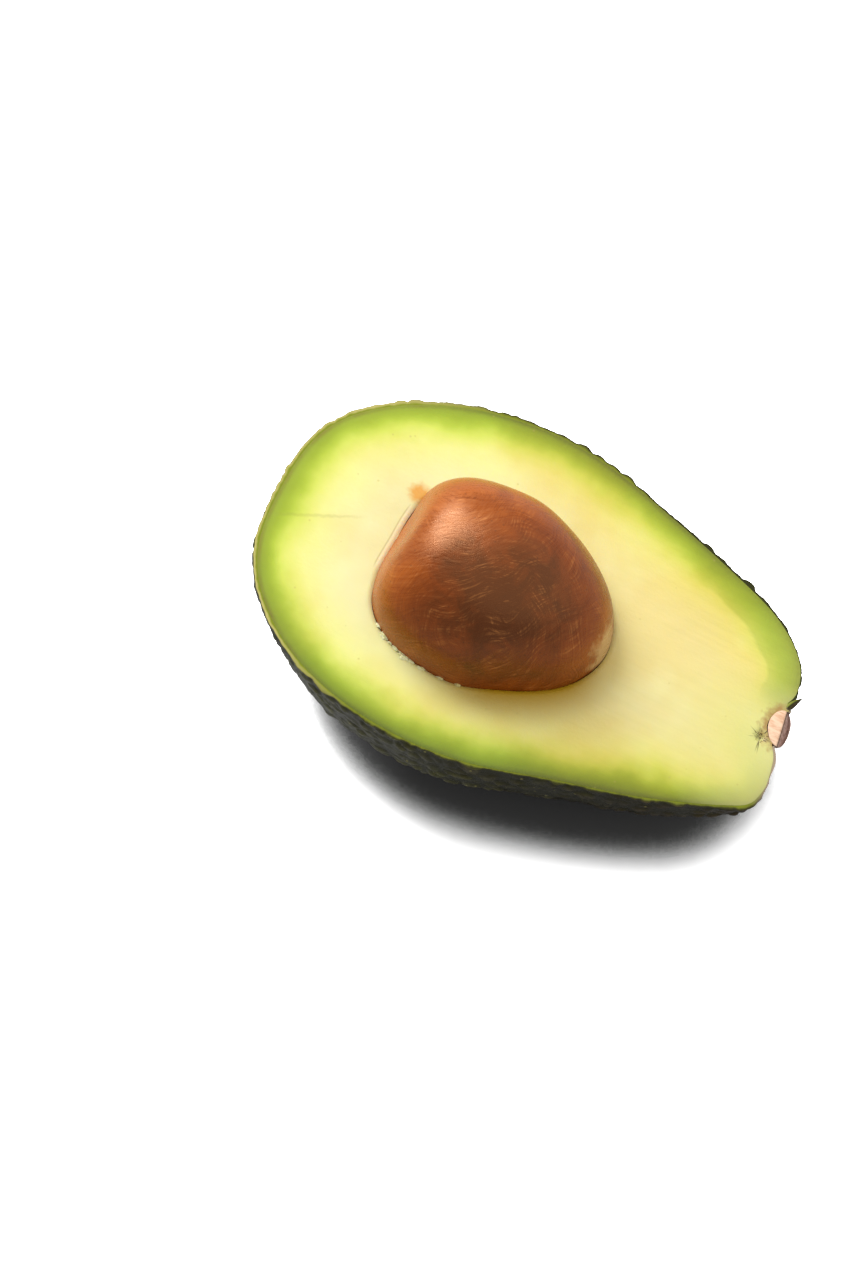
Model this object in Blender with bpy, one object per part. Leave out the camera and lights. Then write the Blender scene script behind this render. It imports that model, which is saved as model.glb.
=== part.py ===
"""Half an avocado lying on its back with the cut face up: skin, flesh, pit and stem stump.

Every piece is modelled upright, with the core along Z, the stem end at the top, the cut face in
the plane X = 0 and the fruit's back towards +X. An empty then lays the whole fruit down.
Outlines are (depth below the stem end, distance from the core) in millimetres; all else is metres.
"""
import math

import bmesh
import bpy
from mathutils import Vector
from mathutils.geometry import interpolate_bezier

MM = 0.001

# Outlines of the turned pieces
FRUIT_OUTLINE = (
    (2.4, 0), (2, 3), (0.5, 5.6), (0, 8.8), (1, 13.4), (4.2, 17.1), (11.3, 21.9), (24, 26.8),
    (38, 30.7), (50, 33.7), (62, 34.4), (75, 32.5), (86, 27.7), (94.5, 20.2), (98.9, 11.5), (100, 0),
)
PIT_OUTLINE = (
    (0, 0), (2.6, 7.6), (9.5, 13.9), (18.5, 18), (25.5, 18.7), (34, 16.8), (39.6, 12.3), (42, 6.4), (42.7, 0),
)
STUMP_OUTLINE = ((0.6, 0), (0.9, 2.2), (2, 3.6), (3.8, 3.4), (5, 1.9), (5.4, 0))

# Driving sizes
SKIN_THICKNESS = 1.2 * MM
GAP = 0.3 * MM
PIT_TOP = 34.9 * MM
PIT_SIDE_OFFSET = -1 * MM
REST_PITCH = math.radians(11)
FLAT_DEPTH = 0.5 * MM

# The neck's -Y shoulder is fuller: it swells sideways and towards the stem, fading down the neck
NECK_LENGTH = 28 * MM
NECK_SWELL = 2.8 * MM
NECK_LEAN = 0.11
SHOULDER_RADIUS = 9 * MM

# Mesh density
FRUIT_CURVE_STEPS = 2
SMALL_CURVE_STEPS = 3
HALF_TURN_STEPS = 20
SMALL_HALF_TURN_STEPS = 12
MERGE_DISTANCE = 0.01 * MM
SHARP_ANGLE = math.radians(40)

FLOOR_CUTTER_SIZE = 200 * MM


def mirrored(point):
    return Vector((point.x, -point.y, point.z))


def smooth_outline(outline, steps):
    """A smooth curve through the outline's points that crosses the core squarely at both ends."""
    knots = [Vector((0, radius, -depth)) * MM for depth, radius in outline]
    chain = [mirrored(knots[1]), *knots, mirrored(knots[-2])]
    curve = [knots[0]]
    for before, start, end, after in zip(chain, chain[1:], chain[2:], chain[3:]):
        leave = start + (end - before) / 6
        arrive = end - (after - start) / 6
        curve.extend(interpolate_bezier(start, leave, arrive, end, steps + 1)[1:])
    return curve


def inset(curve, distance):
    """The outline moved in towards the core by a distance, or out if it is negative."""
    chain = [mirrored(curve[1]), *curve, mirrored(curve[-2])]
    moved = []
    for before, here, after in zip(chain, chain[1:], chain[2:]):
        along = (after - before).normalized()
        moved.append(here + distance * Vector((0, along.z, -along.y)))
    return moved


def turn(bm, curve, angle, steps):
    """Sweeps an outline round the core. It starts on the +Y side and goes by way of +X."""
    points = [bm.verts.new(point) for point in curve]
    edges = [bm.edges.new(pair) for pair in zip(points, points[1:])]
    full = math.isclose(angle, 2 * math.pi)
    bmesh.ops.spin(bm, geom=points + edges, axis=(0, 0, 1), angle=-angle, steps=steps, use_merge=full)
    bmesh.ops.remove_doubles(bm, verts=bm.verts, dist=MERGE_DISTANCE)


def swell_neck(bm):
    """Makes the neck's -Y shoulder fuller than the other, and leaves the core where it is."""
    for vert in bm.verts:
        depth = -vert.co.z
        if depth > NECK_LENGTH:
            continue
        fade = (1 - depth / NECK_LENGTH) ** 2
        share = min(1, vert.co.xy.length / SHOULDER_RADIUS)
        vert.co.z -= NECK_LEAN * vert.co.y * fade
        vert.co.y -= NECK_SWELL * share * fade


def add_mesh(name, bm, collection):
    """Closes off a bmesh as an object. Its faces are turned outwards and shaded smooth."""
    bmesh.ops.recalc_face_normals(bm, faces=bm.faces)
    mesh = bpy.data.meshes.new(name)
    bm.to_mesh(mesh)
    bm.free()
    mesh.shade_smooth()
    mesh.set_sharp_from_angle(angle=SHARP_ANGLE)
    obj = bpy.data.objects.new(name, mesh)
    collection.objects.link(obj)
    return obj


def add_half(name, curve, steps, collection, neck=False):
    """A solid turned half way round the core and closed by the flat cut face."""
    bm = bmesh.new()
    turn(bm, curve, math.pi, steps)
    bmesh.ops.contextual_create(bm, geom=[edge for edge in bm.edges if edge.is_boundary])
    if neck:
        swell_neck(bm)
    return add_mesh(name, bm, collection)


def add_whole(name, curve, steps, collection, neck=False):
    """A solid turned all the way round the core."""
    bm = bmesh.new()
    turn(bm, curve, 2 * math.pi, 2 * steps)
    if neck:
        swell_neck(bm)
    return add_mesh(name, bm, collection)


def make_cutter(obj):
    obj.hide_render = True
    obj.display_type = "WIRE"


def cut(obj, cutter):
    boolean = obj.modifiers.new("cut_by_" + cutter.name, "BOOLEAN")
    boolean.operation = "DIFFERENCE"
    boolean.object = cutter


def add_material(obj, colour, roughness):
    material = bpy.data.materials.new(obj.name)
    material.use_nodes = True
    shader = material.node_tree.nodes["Principled BSDF"]
    shader.inputs["Base Color"].default_value = (*colour, 1)
    shader.inputs["Roughness"].default_value = roughness
    shader.inputs["Metallic"].default_value = 0
    obj.data.materials.append(material)


def add_collection(name):
    collection = bpy.data.collections.new(name)
    bpy.context.scene.collection.children.link(collection)
    return collection


def lay_down(skin, pieces):
    """Rests the fruit on the back of its skin, with its outline centred over the origin."""
    fruit = bpy.data.objects.new("fruit", None)
    skin.users_collection[0].objects.link(fruit)
    fruit.rotation_euler = (0, math.radians(90) + REST_PITCH, 0)
    turned = fruit.rotation_euler.to_matrix()
    corners = [turned @ vert.co for vert in skin.data.vertices]
    low = Vector(min(corner[axis] for corner in corners) for axis in range(3))
    high = Vector(max(corner[axis] for corner in corners) for axis in range(3))
    middle = (low + high) / 2
    fruit.location = (-middle.x, -middle.y, -low.z - FLAT_DEPTH)
    for piece in pieces:
        piece.parent = fruit


def add_floor_cutter(collection):
    """A block whose top is the plane that the fruit stands on."""
    bpy.ops.mesh.primitive_cube_add(size=FLOOR_CUTTER_SIZE, location=(0, 0, -FLOOR_CUTTER_SIZE / 2))
    cutter = bpy.context.object
    cutter.name = "floor_cutter"
    cutter.users_collection[0].objects.unlink(cutter)
    collection.objects.link(cutter)
    make_cutter(cutter)
    return cutter


def main():
    for obj in list(bpy.data.objects):
        bpy.data.objects.remove(obj)
    parts = add_collection("avocado_half")
    cutters = add_collection("cutters")

    outside = smooth_outline(FRUIT_OUTLINE, FRUIT_CURVE_STEPS)
    skin_inside = inset(outside, SKIN_THICKNESS)
    flesh_outside = inset(outside, SKIN_THICKNESS + GAP)
    pit_outside = smooth_outline(PIT_OUTLINE, SMALL_CURVE_STEPS)
    stump_outside = smooth_outline(STUMP_OUTLINE, SMALL_CURVE_STEPS)

    skin = add_half("skin", outside, HALF_TURN_STEPS, parts, neck=True)
    flesh = add_half("flesh", flesh_outside, HALF_TURN_STEPS, parts, neck=True)
    pit = add_whole("pit", pit_outside, SMALL_HALF_TURN_STEPS, parts)
    stump = add_half("stem_stump", stump_outside, SMALL_HALF_TURN_STEPS, parts)

    skin_cutter = add_whole("skin_cutter", skin_inside, HALF_TURN_STEPS, cutters, neck=True)
    pit_cutter = add_whole("pit_cutter", inset(pit_outside, -GAP), SMALL_HALF_TURN_STEPS, cutters)
    stump_cutter = add_whole("stump_cutter", inset(stump_outside, -GAP), SMALL_HALF_TURN_STEPS, cutters)
    for cutter in (skin_cutter, pit_cutter, stump_cutter):
        make_cutter(cutter)
    for piece in (pit, pit_cutter):
        piece.location = (0, PIT_SIDE_OFFSET, -PIT_TOP)

    lay_down(skin, (skin, flesh, pit, stump, skin_cutter, pit_cutter, stump_cutter))
    cut(skin, skin_cutter)
    cut(skin, add_floor_cutter(cutters))
    cut(skin, stump_cutter)
    cut(flesh, pit_cutter)
    cut(flesh, stump_cutter)

    add_material(skin, (0.012, 0.018, 0.008), 0.45)
    add_material(flesh, (0.87, 0.8, 0.28), 0.4)
    add_material(pit, (0.2, 0.055, 0.012), 0.45)
    add_material(stump, (0.45, 0.24, 0.15), 0.7)


main()
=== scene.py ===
# %% [markdown]
# # Half an avocado, lying on its back
#
# A ripe avocado has been cut lengthwise round its stone and pulled apart, and this is the half that kept
# the stone. It has four real pieces: the thin pebbled skin, the flesh inside it, the stone in the hollow of
# the flesh, and the stub of the stalk, which the knife cut through as well.
#
# The measured model of those four pieces is loaded first. It fixes where everything is and how big it is.
# The lesson then makes each piece again with the surface that the real one has, in the same place.

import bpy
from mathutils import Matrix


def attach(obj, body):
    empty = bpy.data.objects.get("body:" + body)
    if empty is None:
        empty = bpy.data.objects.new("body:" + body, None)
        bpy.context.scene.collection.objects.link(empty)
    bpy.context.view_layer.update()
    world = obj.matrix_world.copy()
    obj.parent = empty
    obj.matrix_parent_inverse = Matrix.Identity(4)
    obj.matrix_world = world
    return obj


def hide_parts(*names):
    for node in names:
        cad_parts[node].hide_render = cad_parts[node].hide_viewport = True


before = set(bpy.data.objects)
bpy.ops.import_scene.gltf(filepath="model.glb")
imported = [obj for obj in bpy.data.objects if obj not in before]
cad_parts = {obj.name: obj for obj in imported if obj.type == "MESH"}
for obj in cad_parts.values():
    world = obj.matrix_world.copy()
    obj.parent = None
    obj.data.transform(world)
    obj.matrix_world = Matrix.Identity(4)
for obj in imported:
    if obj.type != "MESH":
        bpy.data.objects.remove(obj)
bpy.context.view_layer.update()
print("nodes:", ", ".join(sorted(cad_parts)))

# %% [markdown]
# ## One upright fruit, laid down at the end
#
# A fruit is round about its core, so every piece is modelled upright: the core along Z, the stalk end at
# the top, the cut face in the plane X = 0 and the fruit's back towards +X. Each finished piece is then
# turned once into the place where the half lies. The angle is how far it pitches towards the stalk as it
# rests, and the shift comes from the measured skin, whose cut face and far end are found in the upright
# frame.

# %% Find where the fruit lies
import math

import bmesh
import bpy
from mathutils import Matrix, Vector, kdtree, noise
from mathutils.geometry import interpolate_bezier

MM = 0.001
FRUIT_LENGTH = 100 * MM
REST_PITCH = math.radians(11)

turned = Matrix.Rotation(math.radians(90) + REST_PITCH, 4, "Y")
upright = [turned.inverted() @ vert.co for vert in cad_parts["skin"].data.vertices]
cut_face = min(point.x for point in upright)
far_end = min(point.z for point in upright)
laid_down = turned @ Matrix.Translation((cut_face, 0, far_end + FRUIT_LENGTH))
print("the stalk end lies at, in mm:", [round(1000 * side, 1) for side in laid_down.translation])

# %% [markdown]
# ## Outlines
#
# Half of each piece's silhouette is given as a few points, each as (depth below the stalk end, distance from
# the core) in millimetres. The stone's depths are measured from its own top.

# %% The outlines
FRUIT_OUTLINE = (
    (2.4, 0), (2, 3), (0.5, 5.6), (0, 8.8), (1, 13.4), (4.2, 17.1), (11.3, 21.9), (24, 26.8),
    (38, 30.7), (50, 33.7), (62, 34.4), (75, 32.5), (86, 27.7), (94.5, 20.2), (98.9, 11.5), (100, 0),
)
STONE_OUTLINE = (
    (0, 0), (2.6, 7.6), (9.5, 13.9), (18.5, 18), (25.5, 18.7), (34, 16.8), (39.6, 12.3), (42, 6.4), (42.7, 0),
)
STALK_OUTLINE = ((0.3, 0), (0.45, 1.7), (1.2, 3.2), (2.2, 3.5), (3.3, 2.8), (4.1, 1.3), (4.3, 0))
OUTLINES = {"fruit": FRUIT_OUTLINE, "stone": STONE_OUTLINE, "stalk": STALK_OUTLINE}
for name, outline in OUTLINES.items():
    print(f"{name}: {len(outline)} points, widest {2 * max(radius for _, radius in outline)} mm")

# %% [markdown]
# ## Curves through the outlines
#
# A smooth curve goes through an outline's points and crosses the core squarely at both ends. It can be moved
# in by a thickness, less so beside the stalk, and it is then shared out in equal steps, because even steps
# make even faces.

# %% Curves through the outlines
CURVE_STEPS = 12
THIN_REACH = 8 * MM


def mirrored(point):
    return Vector((point.x, -point.y, point.z))


def smooth_outline(outline):
    """A smooth curve through the outline's points, in metres."""
    knots = [Vector((0, radius, -depth)) * MM for depth, radius in outline]
    chain = [mirrored(knots[1]), *knots, mirrored(knots[-2])]
    curve = [knots[0]]
    for before, start, end, after in zip(chain, chain[1:], chain[2:], chain[3:]):
        leave = start + (end - before) / 6
        arrive = end - (after - start) / 6
        curve.extend(interpolate_bezier(start, leave, arrive, end, CURVE_STEPS + 1)[1:])
    return curve


def thinned(point, least):
    """A share that is least beside the stalk and 1 away from it."""
    return least + (1 - least) * min(1, max(0, point.length / THIN_REACH - 0.5))


def inset(curve, distance, least=1):
    """The curve moved in towards the core by a distance, or out if it is negative."""
    chain = [mirrored(curve[1]), *curve, mirrored(curve[-2])]
    moved = []
    for before, here, after in zip(chain, chain[1:], chain[2:]):
        along = (after - before).normalized()
        moved.append(here + distance * thinned(here, least) * Vector((0, along.z, -along.y)))
    return moved


def even_steps(curve, count):
    """The same curve as a count of equal steps."""
    total = sum((end - start).length for start, end in zip(curve, curve[1:]))
    points = [curve[0]]
    walked = 0
    for start, end in zip(curve, curve[1:]):
        length = (end - start).length
        while len(points) < count and walked + length >= total * len(points) / count:
            points.append(start.lerp(end, (total * len(points) / count - walked) / length))
        walked += length
    return [*points, curve[-1]]


outside = smooth_outline(FRUIT_OUTLINE)
print("fruit:", len(FRUIT_OUTLINE), "points give a curve of", len(outside))

# %% [markdown]
# ## Turning an outline round the core
#
# Spin sweeps the curve in steps. Half a turn makes an open sheet whose edge lies in the cut face, and a
# whole turn makes a closed shape. Where the curve meets the core, a ring of points falls on one spot and is
# merged.

# %% The turning helper
MERGE_DISTANCE = 0.002 * MM


def turn(bm, curve, angle, steps):
    """Sweeps a curve round the core from the +Y side by way of the back. Returns the new points."""
    before = set(bm.verts)
    faces_before = set(bm.faces)
    points = [bm.verts.new(point) for point in curve]
    edges = [bm.edges.new(pair) for pair in zip(points, points[1:])]
    full = math.isclose(angle, 2 * math.pi)
    bmesh.ops.spin(bm, geom=points + edges, axis=(0, 0, 1), angle=-angle, steps=steps, use_merge=full)
    new = [vert for vert in bm.verts if vert not in before]
    bmesh.ops.remove_doubles(bm, verts=new, dist=MERGE_DISTANCE)
    bmesh.ops.reverse_faces(bm, faces=[face for face in bm.faces if face not in faces_before])
    return [vert for vert in bm.verts if vert not in before]


def open_edges(bm):
    return [edge for edge in bm.edges if edge.is_boundary]


print("points nearer than", MERGE_DISTANCE / MM, "mm are merged")

# %% [markdown]
# ## Fading in and out
#
# Two small curves shape much of what follows. One rises smoothly from 0 to 1 between two values, and the
# other is a bell: 1 in the middle, and fading out all round.

# %% Two ways to fade
def ease(value, start, end):
    """0 before start, 1 after end, and a smooth rise between."""
    share = min(1, max(0, (value - start) / (end - start)))
    return share * share * (3 - 2 * share)


def bell(distance, reach):
    """1 at no distance, falling smoothly to nearly 0 at twice the reach."""
    return math.exp(-((distance / reach) ** 2))


print("at its reach, a bell has fallen to", round(bell(1, 1), 2))

# %% [markdown]
# ## A grown shape
#
# A real fruit isn't turned on a lathe. This one's neck is fuller on one shoulder and its stalk stands a
# little to that side. The skin dips beside the stalk, rises in a bump past the dip, and tucks in under the
# neck. The belly is fuller on one side, the far end is slimmer behind, and the whole fruit swells and sinks
# gently.
#
# A sculptor would push these in by hand. Here each is a small move that fades out like a bell, because the
# skin and the flesh can then both go through the same moves and still fit each other.

# %% Growing unevenly
NECK_LENGTH = 28 * MM
NECK_SWELL = 2.8 * MM
NECK_LEAN = 0.11
STALK_HOLE_RADIUS = 3.5 * MM
SHOULDER_RADIUS = 9 * MM
FULLER_PLACES = (
    # depth below the stalk end, side, how far the fullness reaches, how much it adds
    (8 * MM, -1, 9 * MM, -1.6 * MM),
    (9 * MM, 1, 9 * MM, 1.3 * MM),
    (28 * MM, -1, 20 * MM, -1.1 * MM),
    (50 * MM, 1, 14 * MM, 0.2 * MM),
    (84 * MM, 1, 11 * MM, -0.7 * MM),
    (86 * MM, -1, 9 * MM, 0.3 * MM),
)
SLIMMING = 1.6 * MM
SLIM_REACH = 9 * MM
STALK_SIDE_OFFSET = 1.15 * MM
STALK_REACH = 6 * MM
DENTS = (
    # the middle, how far it reaches, how far it sinks away from the stalk end
    (Vector((0, 7, -0.4)) * MM, 2.4 * MM, 1.6 * MM),
    (Vector((0, 17, -4.5)) * MM, 6 * MM, -1.4 * MM),
    (Vector((0, -4.6, -1.2)) * MM, 1.8 * MM, -0.2 * MM),
)
DENT_RAMP = 1.5 * MM
TUCK = 1.2 * MM
TUCK_REACH = 3 * MM
SWELL_SIZE = 17 * MM
SWELL_HEIGHT = 0.35 * MM


def grow(points):
    """Moves points of the fruit's outside from the turned shape to the grown one."""
    for vert in points:
        place = vert.co.copy()
        depth = -place.z
        radius = place.xy.length
        outward = Vector((place.x, place.y, 0)) / max(radius, MM)
        spread = min(1, radius / SHOULDER_RADIUS)
        for middle, side, reach, fullness in FULLER_PLACES:
            turned_to_side = max(0, side * outward.y)
            vert.co += outward * fullness * turned_to_side * spread * bell(depth - middle, reach)
        vert.co.y += STALK_SIDE_OFFSET * bell(place.length, STALK_REACH)
        past_stalk = ease(radius, STALK_HOLE_RADIUS, STALK_HOLE_RADIUS + DENT_RAMP)
        for middle, reach, sink in DENTS:
            vert.co.z -= sink * past_stalk * bell((place - middle).length, reach)
        tucked = ease(place.x, 0, TUCK_REACH) * ease(-depth, -14 * MM, -4 * MM)
        vert.co.z -= TUCK * tucked * past_stalk
        swell = SWELL_HEIGHT * noise.noise(place / SWELL_SIZE)
        vert.co.y += swell * outward.y
        vert.co.x += swell * max(0, outward.x)
        if depth < NECK_LENGTH:
            fade = (1 - depth / NECK_LENGTH) ** 2
            share = (radius - STALK_HOLE_RADIUS) / (SHOULDER_RADIUS - STALK_HOLE_RADIUS)
            share = min(1, max(0, share))
            vert.co.z -= NECK_LEAN * place.y * fade * share
            vert.co.y -= NECK_SWELL * fade * share
        behind = ease(place.x, 0, SLIM_REACH) * ease(depth, FRUIT_LENGTH / 2, FRUIT_LENGTH)
        vert.co.z += SLIMMING * behind
        vert.co.y -= SLIMMING * behind * outward.y


print("uneven growth:", len(FULLER_PLACES), "fuller or slimmer places and", len(DENTS), "dents")

# %% [markdown]
# ## Finishing a piece
#
# Every piece goes through the same last steps. Its faces are turned outwards, it is laid down, and its mesh
# is shaded smooth except along true edges. It then rides on the measured model's one body and stands for the
# plain solid that it replaces.

# %% The finishing helper
SHARP_ANGLE = math.radians(50)


def lay_down(bm):
    bmesh.ops.recalc_face_normals(bm, faces=bm.faces)
    bmesh.ops.transform(bm, matrix=laid_down, verts=bm.verts)


def add_piece(name, bm, slot, *nodes):
    mesh = bpy.data.meshes.new(name)
    bm.to_mesh(mesh)
    bm.free()
    mesh.shade_smooth()
    mesh.set_sharp_from_angle(angle=SHARP_ANGLE)
    piece = bpy.data.objects.new(name, mesh)
    bpy.context.scene.collection.objects.link(piece)
    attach(piece, "root")
    if nodes:
        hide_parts(*nodes)
    mesh.calc_loop_triangles()
    print(f"{name}: {len(mesh.loop_triangles)} triangles")
    return piece

# %% [markdown]
# ## Colours and nodes
#
# Colours are picked as sRGB hex values, the way a paint chart gives them, and one function turns them into
# the linear values that a shader adds up. One more adds a node, sets it and links it, so that each material
# below reads as a list of what it is made of.

# %% Colour and node helpers
MIX_RESULT = 2


def linear(colour):
    """An sRGB hex colour such as "#F4E89A" as linear RGBA."""
    channels = [int(colour[start:start + 2], 16) / 255 for start in (1, 3, 5)]
    return (*[c / 12.92 if c <= 0.04045 else ((c + 0.055) / 1.055) ** 2.4 for c in channels], 1)


def add_node(tree, kind, inputs=(), stops=(), **settings):
    """Adds a node. Inputs give a socket a value, a hex colour or another node's output."""
    node = tree.nodes.new("ShaderNode" + kind)
    for name, value in settings.items():
        setattr(node, name, value)
    for name, value in dict(inputs).items():
        if isinstance(value, bpy.types.NodeSocket):
            tree.links.new(value, node.inputs[name])
        else:
            node.inputs[name].default_value = linear(value) if isinstance(value, str) else value
    if stops:
        elements = node.color_ramp.elements
        while len(elements) < len(stops):
            elements.new(1)
        for element, (position, colour) in zip(elements, stops):
            element.position = position
            element.color = linear(colour)
    return node


def new_material(name, **constants):
    """A material whose shader has these constants on its own sockets. Returns it and its shader."""
    material = bpy.data.materials.new(name)
    material.use_nodes = True
    shader = material.node_tree.nodes["Principled BSDF"]
    for socket, value in constants.items():
        shader.inputs[socket.replace("_", " ")].default_value = value
    return material, shader


def upright_mm(tree):
    """Places in the upright fruit in millimetres, so that a pattern can follow the core."""
    place = add_node(tree, "TexCoord").outputs["Object"]
    mapping = {
        "Vector": place,
        "Location": laid_down.translation,
        "Rotation": turned.to_euler(),
        "Scale": (MM, MM, MM),
    }
    return add_node(tree, "Mapping", mapping, vector_type="TEXTURE").outputs["Vector"]


print("#808080 in linear light is", round(linear("#808080")[0], 3))

# %% [markdown]
# ## The skin's shape
#
# The skin is a leathery shell about a millimetre thick, and thinner round the stalk. Outside, it is covered
# with rounded bumps a few millimetres across, drawn out along the fruit and parted by narrow creases. They
# are large enough to make the fruit's edge wavy, so they are modelled and not left to a bump map.
#
# The outside is a finely divided half-turned sheet. Cells of a Voronoi pattern are a good model of crowded
# bumps, and the difference between the distances to the nearest two cell centres is zero exactly along the
# creases. Each bump's own height comes from its centre. The pattern is bent by noise first, so that no crease
# is straight. Vector noise starts from the time of day unless it is given a seed, so it gets one, and the
# bumps are the same on every run.

# %% Pebbles
SMOOTH_REACH = 5 * MM
PEBBLE_SIZE = 2.4 * MM
PEBBLE_STRETCH = 1.5
PEBBLE_HEIGHT = 0.75 * MM
GRAIN_SIZE = 0.9 * MM
GRAIN_HEIGHT = 0.14 * MM
BEND_SIZE = 7 * MM
BEND = 1.6 * MM
LOWEST_TOP = 0.55
CREASE_SHARE = 0.6
FAR_END_SHARE = 0.6
CENTRE_SPREAD = 7
NOISE_SEED = 4


def pebble(place):
    """How far the skin stands below its highest points here, from 0 on a bump to 1 in a crease."""
    bent = place + BEND * noise.noise_vector(place / BEND_SIZE)
    bent = Vector((bent.x, bent.y, bent.z / PEBBLE_STRETCH)) / PEBBLE_SIZE
    distances, centres = noise.voronoi(bent)
    nearest, second = distances[:2]
    own_height = LOWEST_TOP + (1 - LOWEST_TOP) * noise.cell(centres[0] * CENTRE_SPREAD)
    rise = CREASE_SHARE * ease(second - nearest, 0, 0.5)
    rise += (1 - CREASE_SHARE) * ease(1 - nearest, 0.1, 0.9)
    return 1 - own_height * rise


def coarseness(depth):
    """The bumps are strongest round the middle and the neck, and lower at the far end."""
    return FAR_END_SHARE + (1 - FAR_END_SHARE) * ease(-depth, -92 * MM, -50 * MM)


noise.seed_set(NOISE_SEED)
spot = Vector((30, 0, -50)) * MM
print("a spot on the skin is pressed in by", round(PEBBLE_HEIGHT * pebble(spot) / MM, 2), "mm")

# %% [markdown]
# ## The shell and the ring that the knife left
#
# Two half-turned sheets make the shell: a fine one outside, and a coarse one inside that the flesh hides.
# The outside sheet's edge is extruded inwards by the skin's thickness, flat in the cut plane, and Bridge
# joins that ring to the inside sheet. Solidify could thicken a single sheet, but its rim wouldn't lie flat
# in the cut.

# %% Model the skin
SKIN_THICKNESS = 1.2 * MM
THIN_SHARE = 0.35
SKIN_ROWS = 360
SKIN_STEPS = 250
INSIDE_SHARE = 5
INSIDE_DROP = 1.5 * MM


def beyond_stalk(curve, radius):
    """The curve without its stretch over the stalk."""
    return [point for point in curve if point.y > radius or point.z < -FRUIT_LENGTH / 2]


def level(direction, share=0):
    """The direction turned into the cut plane, or a share of the way back out of it."""
    return Vector((direction.x * share, direction.y, direction.z)).normalized()


skin_mesh = bmesh.new()
crease = skin_mesh.verts.layers.float.new("crease")
into_skin = skin_mesh.verts.layers.float.new("into_skin")
outside_curve = even_steps(beyond_stalk(outside, STALK_HOLE_RADIUS), SKIN_ROWS)
inside_curve = beyond_stalk(inset(outside, SKIN_THICKNESS, THIN_SHARE), STALK_HOLE_RADIUS)
inside_curve = even_steps(inside_curve, SKIN_ROWS // INSIDE_SHARE)
skin_outside = turn(skin_mesh, outside_curve, math.pi, SKIN_STEPS)

skin_mesh.normal_update()
cut_ring = bmesh.ops.extrude_edge_only(skin_mesh, edges=open_edges(skin_mesh))["geom"]
cut_ring = [part for part in cut_ring if isinstance(part, bmesh.types.BMVert)]
on_outside = set(skin_outside)
for vert in cut_ring:
    outer = next(edge.other_vert(vert) for edge in vert.link_edges if edge.other_vert(vert) in on_outside)
    vert.co = outer.co - SKIN_THICKNESS * thinned(outer.co, THIN_SHARE) * level(outer.normal)
    vert[into_skin] = 1

skin_inside = turn(skin_mesh, inside_curve, math.pi, SKIN_STEPS // INSIDE_SHARE)
widest = max(vert.co.x for vert in skin_inside)
for vert in skin_inside:
    vert.co.x += INSIDE_DROP * (1 - vert.co.x / widest)
bmesh.ops.bridge_loops(skin_mesh, edges=open_edges(skin_mesh))
grow(skin_mesh.verts)
print("skin:", len(skin_mesh.faces), "faces,", len(open_edges(skin_mesh)), "open edges")

# %% [markdown]
# ## Raising the bumps
#
# The outside is pressed in where the pattern is low, along each point's own normal. At the cut the move is
# kept in the cut plane, so that the rim stays flat and only its edge turns wavy. How far each point was
# pressed in is kept as an attribute, from which the material finds the creases.

# %% Raise the pebbles and mark them for the material
skin_mesh.normal_update()
moves = []
for vert in skin_outside:
    place = vert.co.copy()
    vert[crease] = pebble(place)
    depth_below = PEBBLE_HEIGHT * coarseness(-place.z) * vert[crease]
    depth_below += GRAIN_HEIGHT * noise.noise(place / GRAIN_SIZE)
    depth_below *= ease(place.length, SMOOTH_REACH, 2 * SMOOTH_REACH)
    moves.append(-depth_below * level(vert.normal, ease(place.x, 0, 1 * MM)))
for vert, move in zip(skin_outside, moves):
    vert.co += move

lay_down(skin_mesh)
for vert in skin_mesh.verts:
    vert.co.z = max(0, vert.co.z)
skin = add_piece("pebbled_skin", skin_mesh, "skin", "skin")

# %% [markdown]
# ## The skin's finish
#
# Pebbly avocado skin is leathery with a coat of wax. Ripe, it goes from green to nearly black with a
# purple-brown flush that is strongest near the stalk, and it stays green longest at the far end. The wax
# gives dull olive highlights that break up over the bumps, and a thin grey-green bloom lies on top of them,
# partly real and partly a painted highlight on the bumps' tops.
#
# The ground colour follows the core, from the far end to the stalk, with patches of noise so that the
# change has no straight edge.

# %% Waxy pebbled skin
avocado_skin, shader = new_material(
    "waxy_pebbled_skin", Specular_IOR_Level=0.35, Specular_Tint=linear("#D2CC8E")
)
tree = avocado_skin.node_tree
place = upright_mm(tree)
skin.data.materials.append(avocado_skin)

behind_cut, sideways, depth = add_node(tree, "SeparateXYZ", {0: place}).outputs
toward_stalk = add_node(tree, "MapRange", {
    "Value": depth, "From Min": -90, "From Max": -5,
}).outputs["Result"]
patches = add_node(tree, "TexNoise", {
    "Vector": place, "Scale": 1 / 14, "Detail": 4, "Roughness": 0.6,
}).outputs["Fac"]
flush = add_node(tree, "Math", {0: toward_stalk, 1: patches}, operation="ADD").outputs[0]
flush = add_node(tree, "MapRange", {
    "Value": flush, "From Min": 0.35, "From Max": 1.6,
}).outputs["Result"]
ground = add_node(tree, "ValToRGB", {"Fac": flush}, stops=(
    (0, "#424818"), (0.3, "#353716"), (0.6, "#2A2513"), (1, "#33211A"),
)).outputs["Color"]

speckle = add_node(tree, "TexNoise", {"Vector": place, "Scale": 1 / 0.9, "Detail": 3}).outputs["Fac"]
speckle = add_node(tree, "ValToRGB", {"Fac": speckle}, stops=((0.35, "#404040"), (0.7, "#C0C0C0")))
mottled = add_node(tree, "Mix", {
    0: 0.25, 6: ground, 7: speckle.outputs["Color"],
}, data_type="RGBA", blend_type="OVERLAY").outputs[MIX_RESULT]
print("waxy pebbled skin:", len(tree.nodes), "nodes so far")
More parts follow.
